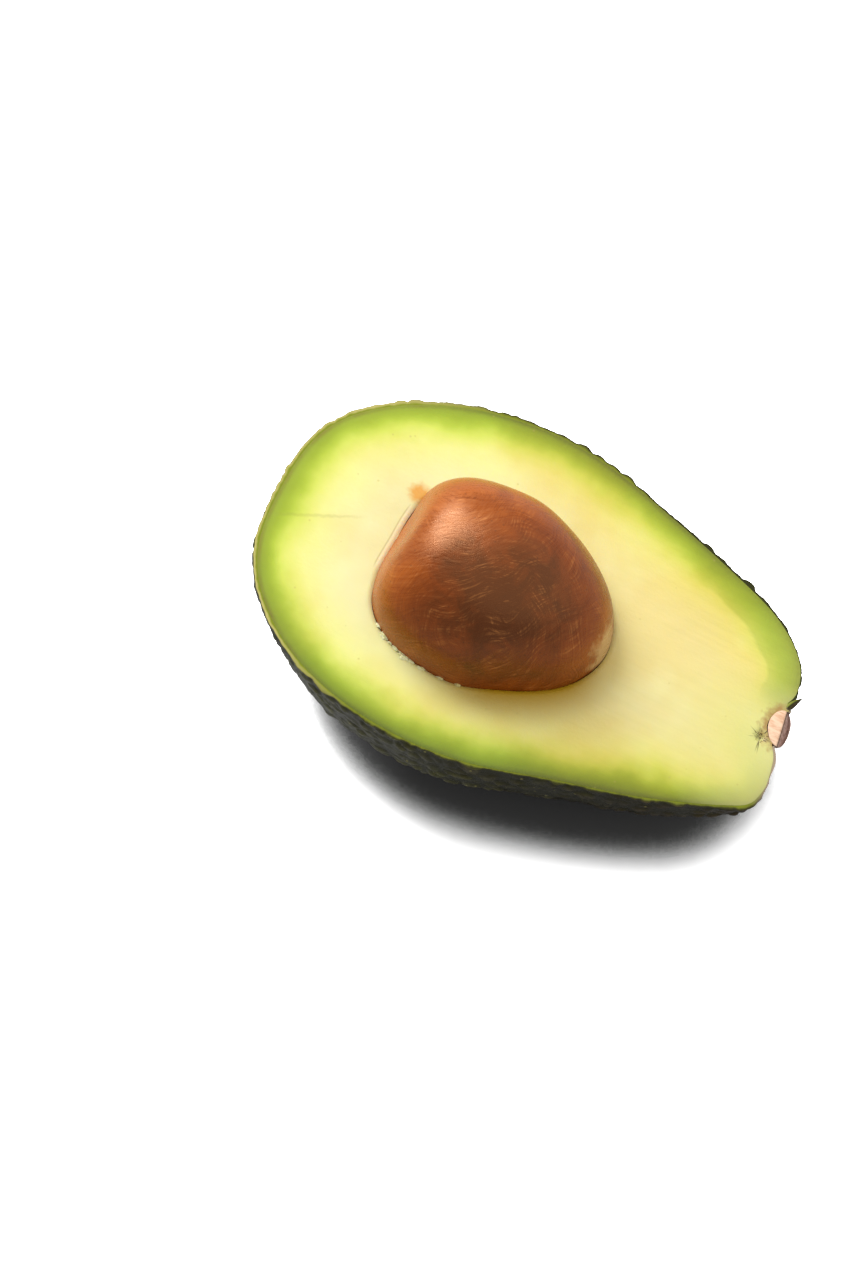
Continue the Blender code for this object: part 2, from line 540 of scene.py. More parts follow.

# %% [markdown]
# ## Bloom with painted highlight, shaded creases and dots
#
# Three smaller things lie on the ground colour. A pale bloom lies on the bumps' tops: partly the wax's real
# bloom and partly a painted highlight, rubbed off in flecks and never reaching the creases. Painted shade
# makes the creases nearly black. The small pale dots are the pores through which the young fruit breathed,
# about two millimetres apart.

# %% Bloom with painted highlight, painted shade in the creases, and pale dots
crease_mark = add_node(tree, "Attribute", attribute_name="crease").outputs["Fac"]
# Painted highlight, partly real wax bloom: a pale olive-grey on the bumps' tops, rubbed off in flecks.
bloom_and_sheen = add_node(tree, "MapRange", {
    "Value": flush, "From Min": 0.1, "From Max": 0.7, "To Min": 0.26, "To Max": 0.1,
}).outputs["Result"]
bloom_and_sheen = add_node(tree, "MapRange", {
    "Value": crease_mark, "From Min": 0.5, "From Max": 0.95, "To Min": bloom_and_sheen, "To Max": 0,
}).outputs["Result"]
flecks = add_node(tree, "TexNoise", {
    "Vector": place, "Scale": 1 / 1.1, "Detail": 4, "Roughness": 0.7,
}).outputs["Fac"]
flecks = add_node(tree, "MapRange", {
    "Value": flecks, "From Min": 0.42, "From Max": 0.62, "To Min": 0.15, "To Max": 1.3,
}).outputs["Result"]
bloom_and_sheen = add_node(tree, "Math", {0: bloom_and_sheen, 1: flecks}, operation="MULTIPLY").outputs[0]
mottled = add_node(tree, "Mix", {0: bloom_and_sheen, 6: mottled, 7: "#77744A"}, data_type="RGBA").outputs[MIX_RESULT]
# Painted shade: the creases are darkened nearly to black.
crease_shade_share = add_node(tree, "MapRange", {
    "Value": crease_mark, "From Min": 0.3, "From Max": 0.95, "To Min": 0, "To Max": 0.85,
}).outputs["Result"]
with_shaded_creases = add_node(tree, "Mix", {
    0: crease_shade_share, 6: mottled, 7: "#15170B",
}, data_type="RGBA").outputs[MIX_RESULT]

dots = add_node(tree, "TexVoronoi", {"Vector": place, "Scale": 1 / 2.2}).outputs["Distance"]
dots = add_node(tree, "MapRange", {
    "Value": dots, "From Min": 0.07, "From Max": 0.14, "To Min": 0.4, "To Max": 0,
}).outputs["Result"]
with_shaded_creases = add_node(tree, "Mix", {0: dots, 6: with_shaded_creases, 7: "#9C9458"}, data_type="RGBA").outputs[MIX_RESULT]
print("bloom, dark creases and pale dots:", len(tree.nodes), "nodes so far")

# %% [markdown]
# ## The cut edge of the skin
#
# Where the knife went through it, the skin shows its layers: black-brown outside, then olive, then
# yellow-green next to the flesh. The attribute runs from 0 on the outside to 1 at the flesh, and noise
# makes the layers wander. They are darker along one side of the neck. At the far end the edge is painted
# light: its layers are paler there, and cream at the outside.

# %% Layers in the skin's cut edge
into = add_node(tree, "Attribute", attribute_name="into_skin").outputs["Fac"]
on_rim = add_node(tree, "MapRange", {
    "Value": into, "From Min": 0.02, "From Max": 0.15,
}).outputs["Result"]
wander = add_node(tree, "TexNoise", {"Vector": place, "Scale": 1 / 1.5, "Detail": 3}).outputs["Fac"]
wandering = add_node(tree, "Math", {0: wander, 1: 0.7, 2: -0.35}, operation="MULTIPLY_ADD").outputs[0]
into = add_node(tree, "Math", {0: into, 1: wandering}, operation="ADD").outputs[0]
# Painted light: the layers of the cut edge are paler at the far end.
painted_paler = add_node(tree, "MapRange", {
    "Value": depth, "From Min": -60, "From Max": -95, "To Min": 0, "To Max": 0.5,
}).outputs["Result"]
into = add_node(tree, "Math", {0: into, 1: painted_paler}, operation="ADD").outputs[0]
on_side = add_node(tree, "MapRange", {
    "Value": sideways, "From Min": 3, "From Max": 9, "To Min": 0, "To Max": 0.65,
}).outputs["Result"]
darker = add_node(tree, "MapRange", {
    "Value": depth, "From Min": -45, "From Max": -25, "To Min": 0, "To Max": on_side,
}).outputs["Result"]
into = add_node(tree, "Math", {0: into, 1: darker}, operation="SUBTRACT").outputs[0]
rim = add_node(tree, "ValToRGB", {"Fac": into}, stops=(
    (0.2, "#262812"), (0.38, "#45461A"), (0.6, "#646A20"), (1, "#76801E"), (1.15, "#76801E"),
)).outputs["Color"]
# Painted light: the outside of the cut edge is cream at the far end.
painted_light_cream = add_node(tree, "MapRange", {
    "Value": into, "From Min": 1.2, "From Max": 0.8, "To Min": 0, "To Max": 0.8,
}).outputs["Result"]
painted_light_cream = add_node(tree, "MapRange", {
    "Value": depth, "From Min": -70, "From Max": -90, "To Min": 0, "To Max": painted_light_cream,
}).outputs["Result"]
rim = add_node(tree, "Mix", {0: painted_light_cream, 6: rim, 7: "#BDB36C"}, data_type="RGBA").outputs[MIX_RESULT]
colour = add_node(tree, "Mix", {0: on_rim, 6: with_shaded_creases, 7: rim}, data_type="RGBA").outputs[MIX_RESULT]
print("layers in the skin's cut edge:", len(tree.nodes), "nodes so far")

# %% [markdown]
# ## Cork round the stalk, and the gloss
#
# The skin has turned to pale brown cork in a narrow collar round the stalk and along the cut beside it. The
# wax is a little uneven, so its roughness varies in patches about a steady satin, and a fine bump gives the
# leather's own grain, half a millimetre across.

# %% Cork, gloss and leather grain
BESIDE_STALK = (0, -6, -2)
STALK_FOOT = (0, 1.3, -1.8)

beside = add_node(tree, "VectorMath", {0: place, 1: BESIDE_STALK}, operation="DISTANCE").outputs["Value"]
beside = add_node(tree, "MapRange", {
    "Value": beside, "From Min": 4, "From Max": 9, "To Min": 0.8, "To Max": 0,
}).outputs["Result"]
along_cut = add_node(tree, "MapRange", {
    "Value": behind_cut, "From Min": 0.1, "From Max": 0.7, "To Min": 1, "To Max": 0,
}).outputs["Result"]
beside = add_node(tree, "Math", {0: beside, 1: along_cut}, operation="MULTIPLY").outputs[0]
from_core = add_node(tree, "VectorMath", {0: place, 1: STALK_FOOT}, operation="DISTANCE").outputs["Value"]
from_core = add_node(tree, "Math", {0: wander, 1: 3, 2: from_core}, operation="MULTIPLY_ADD").outputs[0]
collar = add_node(tree, "MapRange", {
    "Value": from_core, "From Min": 4.9, "From Max": 5.9, "To Min": 0.75, "To Max": 0,
}).outputs["Result"]
corky = add_node(tree, "Math", {0: beside, 1: collar}, operation="MAXIMUM").outputs[0]
colour = add_node(tree, "Mix", {0: corky, 6: colour, 7: "#A38F7C"}, data_type="RGBA").outputs[MIX_RESULT]
tree.links.new(colour, shader.inputs["Base Color"])

gloss = add_node(tree, "MapRange", {
    "Value": patches, "From Min": 0.3, "From Max": 0.7, "To Min": 0.3, "To Max": 0.45,
}).outputs["Result"]
tree.links.new(gloss, shader.inputs["Roughness"])
leather = add_node(tree, "TexNoise", {
    "Vector": place, "Scale": 1 / 0.45, "Detail": 4, "Roughness": 0.65,
}).outputs["Fac"]
bump = add_node(tree, "Bump", {"Height": leather, "Strength": 0.35, "Distance": 0.12 * MM})
tree.links.new(bump.outputs["Normal"], shader.inputs["Normal"])
print("cork, gloss and leather grain:", len(tree.nodes), "nodes so far")

# %% [markdown]
# ## A stone that isn't quite round
#
# The stone is fuller in some places and sunk in others. It and the hollow that it leaves in the flesh go
# through the same helper, which also moves them to their place, so that the stone sits close in its hollow.

# %% The stone's place and shape
STONE_TOP = 34.9 * MM
STONE_SIDE_OFFSET = -0.8 * MM
STONE_MIDDLE = Vector((0, -0.8, -56)) * MM
STONE_FULLER_PLACES = (
    # the middle, how far it reaches, how much it adds
    (Vector((-6, 9, -72)) * MM, 7 * MM, 1 * MM),
    (Vector((-5, -13, -70)) * MM, 7 * MM, 1 * MM),
    (Vector((-6, 1, -77)) * MM, 7 * MM, -1.9 * MM),
    (Vector((-5, -17, -49)) * MM, 8 * MM, -0.8 * MM),
)


def place_stone(points):
    for vert in points:
        vert.co += Vector((0, STONE_SIDE_OFFSET, -STONE_TOP))
        outward = (vert.co - STONE_MIDDLE).normalized()
        for middle, reach, amount in STONE_FULLER_PLACES:
            vert.co += outward * amount * bell((vert.co - middle).length, reach)


stone_outside = smooth_outline(STONE_OUTLINE)
print("the stone is", round((stone_outside[0] - stone_outside[-1]).length / MM, 1), "mm long")

# %% [markdown]
# ## The flesh's shape
#
# The flesh fills the skin and has a flat cut face with the stone's hollow in it. Its hidden back, with the
# stalk's seat at one end, is one half-turned sheet, and the hollow is another. The back goes through the
# same growth as the skin, so it fits it.

# %% Turn the flesh's back and its hollow
FLESH_ROWS = 300
FLESH_BACK_STEPS = 16
HOLLOW_STEPS = 50
STONE_GAP = 0.05 * MM
STALK_GAP = 0.1 * MM
STALK_SEAT_TOP = 2.3 * MM
STALK_LEAN = 0.14
OVERLAP = 0.05 * MM

stalk_seat = inset(smooth_outline(STALK_OUTLINE), -STALK_GAP)
stalk_seat = [point for point in reversed(stalk_seat) if point.z < -STALK_SEAT_TOP]
flesh_outside = beyond_stalk(inset(outside, SKIN_THICKNESS - OVERLAP, THIN_SHARE), STALK_HOLE_RADIUS)

flesh_mesh = bmesh.new()
from_skin = flesh_mesh.verts.layers.float.new("from_skin")
from_stone = flesh_mesh.verts.layers.float.new("from_stone")
from_stalk = flesh_mesh.verts.layers.float.new("from_stalk")
back_curve = even_steps(stalk_seat + flesh_outside, FLESH_ROWS)
hollow_curve = even_steps(inset(stone_outside, -STONE_GAP), FLESH_ROWS)
flesh_back = turn(flesh_mesh, back_curve, math.pi, FLESH_BACK_STEPS)
for vert in flesh_back:
    in_seat = vert.co.xy.length < STALK_HOLE_RADIUS and vert.co.z > -FRUIT_LENGTH / 2
    vert[from_stalk] = not in_seat
    vert.co.z -= STALK_LEAN * vert.co.y * in_seat
grow(flesh_back)
hollow = turn(flesh_mesh, hollow_curve, math.pi, HOLLOW_STEPS)
place_stone(hollow)
for vert in hollow:
    vert.co.x *= not vert.is_boundary

print("flesh:", len(flesh_back), "points at the back and", len(hollow), "in the hollow")

# %% [markdown]
# ## Bridging the cut face
#
# Bridging the two sheets' edges gives the cut face in one step. Its long thin faces are then divided into
# rings, fine enough to carry the slight ups and downs that a knife leaves in soft flesh. The edges lie in
# one plane, where Bridge can't tell which way round they run, so the hollow is lifted a little while they
# are joined.

# %% Bridge the cut face
FACE_RINGS = 70
LIFT = 2 * MM
FAR_AWAY = 30

back_edge = [vert for vert in flesh_back if vert.is_boundary]
skin_edge = [vert.co.copy() for vert in back_edge if vert[from_stalk]]
seat_edge = [vert.co.copy() for vert in back_edge if not vert[from_stalk]]
hollow_edge = [vert.co.copy() for vert in hollow if vert.is_boundary]
for vert in hollow:
    vert[from_skin] = FAR_AWAY
    vert[from_stalk] = FAR_AWAY
    vert.co.x += LIFT
bridge = bmesh.ops.bridge_loops(flesh_mesh, edges=open_edges(flesh_mesh))
for vert in hollow:
    vert.co.x -= LIFT
bmesh.ops.subdivide_edges(flesh_mesh, edges=bridge["edges"], cuts=FACE_RINGS, use_grid_fill=True)
face = [vert for vert in flesh_mesh.verts if abs(vert.co.x) < MERGE_DISTANCE]
print("flesh:", len(flesh_mesh.faces), "faces,", len(face), "points across the cut face")

# %% [markdown]
# ## The cut face
#
# The colours of the flesh follow its edges, so each point of the cut face measures how far it is from the
# skin, the stone and the stalk, and keeps the distances in millimetres as attributes. A search tree finds
# them fast.
#
# The face itself is nearly flat. It swells and ripples by a tenth of a millimetre or so, its lip rounds
# over into the hollow, and a small pit has opened beside the stalk.

# %% Measure the cut face and shape its surface
UNEVEN_SIZE = 11 * MM
UNEVEN_HEIGHT = 0.16 * MM
RIPPLE_SIZE = 3.2 * MM
RIPPLE_HEIGHT = 0.035 * MM
LIP_WIDTH = 0.9 * MM
LIP_DROP = 0.3 * MM
STALK_PIT = Vector((0, -2.1, -4.6)) * MM
STALK_PIT_REACH = 0.75 * MM
STALK_PIT_DEPTH = 0.9 * MM


def tree_of(points):
    """A search tree that finds how far a place is from a row of points."""
    found = kdtree.KDTree(len(points))
    for index, point in enumerate(points):
        found.insert(point, index)
    found.balance()
    return found


to_skin = tree_of(skin_edge)
to_hollow = tree_of(hollow_edge)
to_stalk = tree_of(seat_edge)
for vert in face:
    vert[from_skin] = to_skin.find(vert.co)[2] / MM
    vert[from_stone] = to_hollow.find(vert.co)[2] / MM
    vert[from_stalk] = to_stalk.find(vert.co)[2] / MM
for vert in face:
    place = vert.co.copy()
    up = UNEVEN_HEIGHT * noise.noise(place / UNEVEN_SIZE) + RIPPLE_HEIGHT * noise.noise(place / RIPPLE_SIZE)
    up = OVERLAP + up * ease(vert[from_skin] * MM, 0, 2 * MM)
    lip = 1 - min(1, vert[from_stone] * MM / LIP_WIDTH)
    up -= LIP_DROP * lip * lip
    up -= STALK_PIT_DEPTH * bell((place - STALK_PIT).length, STALK_PIT_REACH)
    vert.co.x -= up

lay_down(flesh_mesh)
flesh = add_piece("cut_flesh", flesh_mesh, "flesh", "flesh")

# %% [markdown]
# ## The flesh's colour
#
# Ripe flesh is soft and oily, pale butter-yellow round the stone and green under the skin, where it held
# the leaf-green chloroplasts. Light goes a millimetre or two into it, which softens its shading, so the
# shader gets some subsurface scattering. The band's colours come from a ramp over the distance from the
# skin, and slow noise makes the edge of the green wander in lobes.

# %% Buttery flesh
avocado_flesh, shader = new_material(
    "buttery_flesh", Subsurface_Weight=0.25, Subsurface_Scale=1.5 * MM, Specular_IOR_Level=0.35
)
shader.inputs["Subsurface Radius"].default_value = (1, 0.7, 0.25)
tree = avocado_flesh.node_tree
place = upright_mm(tree)
across = add_node(tree, "SeparateXYZ", {0: place}).outputs
flesh.data.materials.append(avocado_flesh)

measure = add_node(tree, "Attribute", attribute_name="from_skin").outputs["Fac"]
lobes = add_node(tree, "TexNoise", {"Vector": place, "Scale": 1 / 9, "Detail": 3}).outputs["Fac"]
lobes = add_node(tree, "Math", {0: lobes, 1: 5, 2: -2.4}, operation="MULTIPLY_ADD").outputs[0]
near = add_node(tree, "MapRange", {
    "Value": measure, "From Min": 0, "From Max": 4,
}).outputs["Result"]
lobes = add_node(tree, "Math", {0: lobes, 1: near}, operation="MULTIPLY").outputs[0]
band = add_node(tree, "Math", {0: measure, 1: lobes}, operation="ADD").outputs[0]
band = add_node(tree, "Math", {0: band, 1: 16}, operation="DIVIDE").outputs[0]
green_band = add_node(tree, "ValToRGB", {"Fac": band}, stops=(
    (0.02, "#6E791A"), (0.06, "#84951F"), (0.12, "#93A623"), (0.2, "#AABC36"), (0.3, "#C6D054"),
    (0.4, "#D5D76E"), (0.52, "#DEDC86"), (0.75, "#E1DD98"), (1, "#E2DEA4"),
)).outputs["Color"]
print("buttery flesh:", len(tree.nodes), "nodes so far")

# %% [markdown]
# ## A broader band on one side
#
# The green isn't the same all round. On one side of the neck it is broad, with a clear inner edge.

# %% Broader green beside the neck
in_band = add_node(tree, "Math", {0: measure, 1: lobes}, operation="ADD").outputs[0]
in_band = add_node(tree, "MapRange", {
    "Value": in_band, "From Min": 5.3, "From Max": 6, "To Min": 0.4, "To Max": 0,
}).outputs["Result"]
on_side = add_node(tree, "MapRange", {"Value": across["Y"], "From Min": 3, "From Max": 8}).outputs["Result"]
on_neck = add_node(tree, "MapRange", {
    "Value": across["Z"], "From Min": -27, "From Max": -19,
}).outputs["Result"]
in_band = add_node(tree, "Math", {0: in_band, 1: on_side}, operation="MULTIPLY").outputs[0]
in_band = add_node(tree, "Math", {0: in_band, 1: on_neck}, operation="MULTIPLY").outputs[0]
green_band = add_node(tree, "Mix", {
    0: in_band, 6: green_band, 7: "#95AA2C",
}, data_type="RGBA").outputs[MIX_RESULT]
print("broader green beside the neck:", len(tree.nodes), "nodes so far")

# %% [markdown]
# ## The far end's green
#
# At the far end the green is lighter, and a thin, broken brown line runs next to the skin, where the flesh
# has begun to dry.

# %% Lighter green and a brown line at the far end
far_end = add_node(tree, "MapRange", {
    "Value": across["Z"], "From Min": -72, "From Max": -86,
}).outputs["Result"]
lighter = add_node(tree, "MapRange", {
    "Value": measure, "From Min": 0.8, "From Max": 3, "To Min": 0.3, "To Max": 0,
}).outputs["Result"]
lighter = add_node(tree, "Math", {0: lighter, 1: far_end}, operation="MULTIPLY").outputs[0]
green_band = add_node(tree, "Mix", {
    0: lighter, 6: green_band, 7: "#A9BA3C",
}, data_type="RGBA").outputs[MIX_RESULT]
brown_line = add_node(tree, "MapRange", {
    "Value": measure, "From Min": 0.15, "From Max": 0.8, "To Min": 0.6, "To Max": 0,
}).outputs["Result"]
brown_line = add_node(tree, "Math", {0: brown_line, 1: far_end}, operation="MULTIPLY").outputs[0]
patches = add_node(tree, "TexNoise", {"Vector": place, "Scale": 1 / 5, "Detail": 3}).outputs["Fac"]
patches = add_node(tree, "MapRange", {
    "Value": patches, "From Min": 0.42, "From Max": 0.6, "To Min": 0.25, "To Max": 1,
}).outputs["Result"]
brown_line = add_node(tree, "Math", {0: brown_line, 1: patches}, operation="MULTIPLY").outputs[0]
green_band = add_node(tree, "Mix", {
    0: brown_line, 6: green_band, 7: "#83722A",
}, data_type="RGBA").outputs[MIX_RESULT]
print("lighter green at the far end:", len(tree.nodes), "nodes so far")

# %% [markdown]
# ## The shady side's green
#
# Along the side that hung in the shade the green is deeper, most of all next to the skin.

# %% Deeper green on the shady side
shaded = add_node(tree, "MapRange", {
    "Value": across["Y"], "From Min": -10, "From Max": -28,
}).outputs["Result"]
depth_of_green = add_node(tree, "MapRange", {
    "Value": band, "From Min": 0, "From Max": 0.45, "To Min": 0.35, "To Max": 0,
}).outputs["Result"]
shaded = add_node(tree, "Math", {0: shaded, 1: depth_of_green}, operation="MULTIPLY").outputs[0]
green_band = add_node(tree, "Mix", {
    0: shaded, 6: green_band, 7: "#3E560A",
}, data_type="RGBA").outputs[MIX_RESULT]
print("deeper green on the shady side:", len(tree.nodes), "nodes so far")

# %% [markdown]
# ## Warmth and strands
#
# The yellow is warmer towards the stalk and paler towards the far end. Faint strands run along the fruit
# between the stalk and the stone: noise that is drawn out thirteen times along the core gives them.

# %% Warmth and strands
warm = add_node(tree, "TexNoise", {"Vector": place, "Scale": 1 / 20, "Detail": 3}).outputs["Fac"]
toward_stalk = add_node(tree, "MapRange", {
    "Value": across["Z"], "From Min": -85, "From Max": -25, "To Min": -0.12, "To Max": 0.22,
}).outputs["Result"]
warm = add_node(tree, "Math", {0: warm, 1: toward_stalk}, operation="ADD").outputs[0]
warm = add_node(tree, "MapRange", {
    "Value": warm, "From Min": 0.4, "From Max": 0.75,
}).outputs["Result"]
tint = add_node(tree, "Mix", {0: warm, 6: "#FFFFFF", 7: "#F6E6CC"}, data_type="RGBA").outputs[MIX_RESULT]
colour = add_node(tree, "Mix", {
    0: 1.0, 6: green_band, 7: tint,
}, data_type="RGBA", blend_type="MULTIPLY").outputs[MIX_RESULT]

drawn_out = add_node(tree, "Mapping", {"Vector": place, "Scale": (1 / 1.2, 1 / 1.2, 1 / 16)})
strands = add_node(tree, "TexNoise", {
    "Vector": drawn_out.outputs[0], "Scale": 1, "Detail": 4, "Roughness": 0.6,
}).outputs["Fac"]
strand_share = add_node(tree, "MapRange", {
    "Value": across["Z"], "From Min": -45, "From Max": -20, "To Min": 0.02, "To Max": 0.08,
}).outputs["Result"]
strand_tone = add_node(tree, "ValToRGB", {"Fac": strands}, stops=((0.3, "#9CA860"), (0.62, "#FFFFFF")))
colour = add_node(tree, "Mix", {
    0: strand_share, 6: colour, 7: strand_tone.outputs["Color"],
}, data_type="RGBA", blend_type="MULTIPLY").outputs[MIX_RESULT]
print("warmth and strands:", len(tree.nodes), "nodes so far")

# %% [markdown]
# ## Round the stalk
#
# The vessels that fed the fruit came in here. The green fades to a pale straw colour, the flesh browns a
# little where it held the stalk, and brown strands spread from a small hole. A noise that is read from the
# direction away from the hole, and not from the place, is the same all along each strand, so it makes rays.

# %% Straw, browning and strands round the stalk
from_stalk = add_node(tree, "Attribute", attribute_name="from_stalk").outputs["Fac"]
faded = add_node(tree, "MapRange", {
    "Value": from_stalk, "From Min": 3, "From Max": 21, "To Min": 0.85, "To Max": 0,
}).outputs["Result"]
one_side = add_node(tree, "MapRange", {
    "Value": across["Y"], "From Min": 1, "From Max": 10, "To Min": 1, "To Max": 0.2,
}).outputs["Result"]
faded = add_node(tree, "Math", {0: faded, 1: one_side}, operation="MULTIPLY").outputs[0]
colour = add_node(tree, "Mix", {0: faded, 6: colour, 7: "#CFCB84"}, data_type="RGBA").outputs[MIX_RESULT]

ragged = add_node(tree, "TexNoise", {"Vector": place, "Scale": 1 / 1.1, "Detail": 4}).outputs["Fac"]
browned = add_node(tree, "Math", {0: ragged, 1: -4, 2: 2}, operation="MULTIPLY_ADD").outputs[0]
browned = add_node(tree, "Math", {0: browned, 1: from_stalk}, operation="ADD").outputs[0]
browned = add_node(tree, "MapRange", {
    "Value": browned, "From Min": 0.1, "From Max": 1.9, "To Min": 0.85, "To Max": 0,
}).outputs["Result"]
colour = add_node(tree, "Mix", {0: browned, 6: colour, 7: "#9A7440"}, data_type="RGBA").outputs[MIX_RESULT]

spoke = add_node(tree, "VectorMath", {0: place, 1: STALK_PIT / MM}, operation="SUBTRACT").outputs[0]
from_hole = add_node(tree, "VectorMath", {0: spoke}, operation="LENGTH").outputs["Value"]
spoke = add_node(tree, "VectorMath", {0: spoke}, operation="NORMALIZE").outputs[0]
spokes = add_node(tree, "TexNoise", {
    "Vector": spoke, "Scale": 3.5, "Detail": 2, "Roughness": 0.7,
}).outputs["Fac"]
spokes = add_node(tree, "MapRange", {
    "Value": spokes, "From Min": 0.5, "From Max": 0.72, "To Min": 0.45, "To Max": 2.4,
}).outputs["Result"]
from_hole = add_node(tree, "Math", {0: from_hole, 1: spokes}, operation="DIVIDE").outputs[0]
strand_mark = add_node(tree, "MapRange", {
    "Value": from_hole, "From Min": 0.6, "From Max": 1.5, "To Min": 0.95, "To Max": 0,
}).outputs["Result"]
colour = add_node(tree, "Mix", {
    0: strand_mark, 6: colour, 7: "#4A3A0E",
}, data_type="RGBA").outputs[MIX_RESULT]
print("straw, browning and strands round the stalk:", len(tree.nodes), "nodes so far")

# %% [markdown]
# ## Beside the stone
#
# Painted shadow: the flesh is a darker gold on the stone's shady side, where the stone's shadow falls.
# Opposite, where the stone sank a little, a pale edge of painted light stands for the lit, glossy wall of
# the hollow, with a fine line along it. A stain lies next to that edge.

# %% Painted stone shadow, a pale edge of painted light, and a stain
STONE_SHADOW_PLACE = (0, -14, -44)
WEDGE_PLACE = (0, 1, -77)
STAIN_PLACE = (0, 10.9, -76.9)

# Painted shadow: darker gold flesh on the stone's shady side, strongest next to the stone.
painted_stone_shadow = add_node(tree, "VectorMath", {0: place, 1: STONE_SHADOW_PLACE}, operation="DISTANCE").outputs["Value"]
painted_stone_shadow = add_node(tree, "MapRange", {
    "Value": painted_stone_shadow, "From Min": 6, "From Max": 23, "To Min": 1, "To Max": 0,
}, interpolation_type="SMOOTHSTEP").outputs["Result"]
from_stone_mark = add_node(tree, "Attribute", attribute_name="from_stone").outputs["Fac"]
near_stone_for_shadow = add_node(tree, "MapRange", {
    "Value": from_stone_mark, "From Min": 0, "From Max": 8, "To Min": 1, "To Max": 0,
}, interpolation_type="SMOOTHSTEP").outputs["Result"]
painted_stone_shadow = add_node(tree, "Math", {0: painted_stone_shadow, 1: near_stone_for_shadow}, operation="MULTIPLY").outputs[0]
colour = add_node(tree, "Mix", {0: painted_stone_shadow, 6: colour, 7: "#A98614"}, data_type="RGBA").outputs[MIX_RESULT]

# Painted light: a pale edge next to the stone stands for the lit, glossy wall of the hollow.
from_wedge = add_node(tree, "VectorMath", {0: place, 1: WEDGE_PLACE}, operation="DISTANCE").outputs["Value"]
within = add_node(tree, "MapRange", {
    "Value": from_wedge, "From Min": 6, "From Max": 7.5, "To Min": 1, "To Max": 0,
}).outputs["Result"]
from_line = add_node(tree, "Math", {0: from_stone_mark, 1: 1.1}, operation="SUBTRACT").outputs[0]
painted_light_band = add_node(tree, "MapRange", {
    "Value": from_line, "From Min": -0.1, "From Max": 0, "To Min": 0.7, "To Max": 0,
}).outputs["Result"]
pale_edge = add_node(tree, "Math", {0: painted_light_band, 1: within}, operation="MULTIPLY").outputs[0]
colour = add_node(tree, "Mix", {0: pale_edge, 6: colour, 7: "#F6EBC0"}, data_type="RGBA").outputs[MIX_RESULT]
from_line = add_node(tree, "Math", {0: from_line}, operation="ABSOLUTE").outputs[0]
line = add_node(tree, "MapRange", {
    "Value": from_line, "From Min": 0.05, "From Max": 0.25, "To Min": 0.4, "To Max": 0,
}).outputs["Result"]
line = add_node(tree, "Math", {0: line, 1: within}, operation="MULTIPLY").outputs[0]
colour = add_node(tree, "Mix", {0: line, 6: colour, 7: "#9A8230"}, data_type="RGBA").outputs[MIX_RESULT]

from_stain = add_node(tree, "VectorMath", {0: place, 1: STAIN_PLACE}, operation="DISTANCE").outputs["Value"]
from_stain = add_node(tree, "Math", {0: ragged, 1: 1.6, 2: from_stain}, operation="MULTIPLY_ADD").outputs[0]
stained = add_node(tree, "MapRange", {
    "Value": from_stain, "From Min": 1.8, "From Max": 3.3, "To Min": 0.85, "To Max": 0,
}).outputs["Result"]
colour = add_node(tree, "Mix", {0: stained, 6: colour, 7: "#D9962A"}, data_type="RGBA").outputs[MIX_RESULT]
print("golden flesh, a torn edge and a stain:", len(tree.nodes), "nodes so far")

# %% [markdown]
# ## A crack and the vessels
#
# A fine crack runs across the far end, found as the places close to a line, which noise bends. Small brown
# dots are the cut ends of the vessels that run through the flesh, about four millimetres apart.

# %% A fine crack and the vessels' ends
CRACK_PLACE = (0, -1.9, -90.8)
ACROSS_CRACK = (0, 0.892, -0.452)

crack = add_node(tree, "VectorMath", {0: place, 1: CRACK_PLACE}, operation="SUBTRACT").outputs[0]
from_crack_middle = add_node(tree, "VectorMath", {0: crack}, operation="LENGTH").outputs["Value"]
from_crack = add_node(tree, "VectorMath", {
    0: crack, 1: ACROSS_CRACK,
}, operation="DOT_PRODUCT").outputs["Value"]
from_crack = add_node(tree, "Math", {0: ragged, 1: 0.8, 2: from_crack}, operation="MULTIPLY_ADD").outputs[0]
from_crack = add_node(tree, "Math", {0: from_crack, 1: 0.4}, operation="SUBTRACT").outputs[0]
from_crack = add_node(tree, "Math", {0: from_crack}, operation="ABSOLUTE").outputs[0]
crack = add_node(tree, "MapRange", {
    "Value": from_crack, "From Min": 0.05, "From Max": 0.45, "To Min": 0.22, "To Max": 0,
}).outputs["Result"]
within = add_node(tree, "MapRange", {
    "Value": from_crack_middle, "From Min": 5, "From Max": 9, "To Min": 1, "To Max": 0,
}).outputs["Result"]
crack = add_node(tree, "Math", {0: crack, 1: within}, operation="MULTIPLY").outputs[0]
colour = add_node(tree, "Mix", {0: crack, 6: colour, 7: "#8A8A3A"}, data_type="RGBA").outputs[MIX_RESULT]

vessels = add_node(tree, "TexVoronoi", {"Vector": place, "Scale": 1 / 4}).outputs["Distance"]
vessels = add_node(tree, "MapRange", {
    "Value": vessels, "From Min": 0.03, "From Max": 0.07, "To Min": 0.3, "To Max": 0,
}).outputs["Result"]
colour = add_node(tree, "Mix", {0: vessels, 6: colour, 7: "#A89A50"}, data_type="RGBA").outputs[MIX_RESULT]

tree.links.new(colour, shader.inputs["Base Color"])
print("a fine crack and the vessels' ends:", len(tree.nodes), "nodes so far")

# %% [markdown]
# ## The moist surface
#
# Freshly cut flesh is moist, not wet: the highlights are soft, and a little softer where it is warm and
# oily. A fine bump, under a tenth of a millimetre high, gives the grain that the knife drags up.

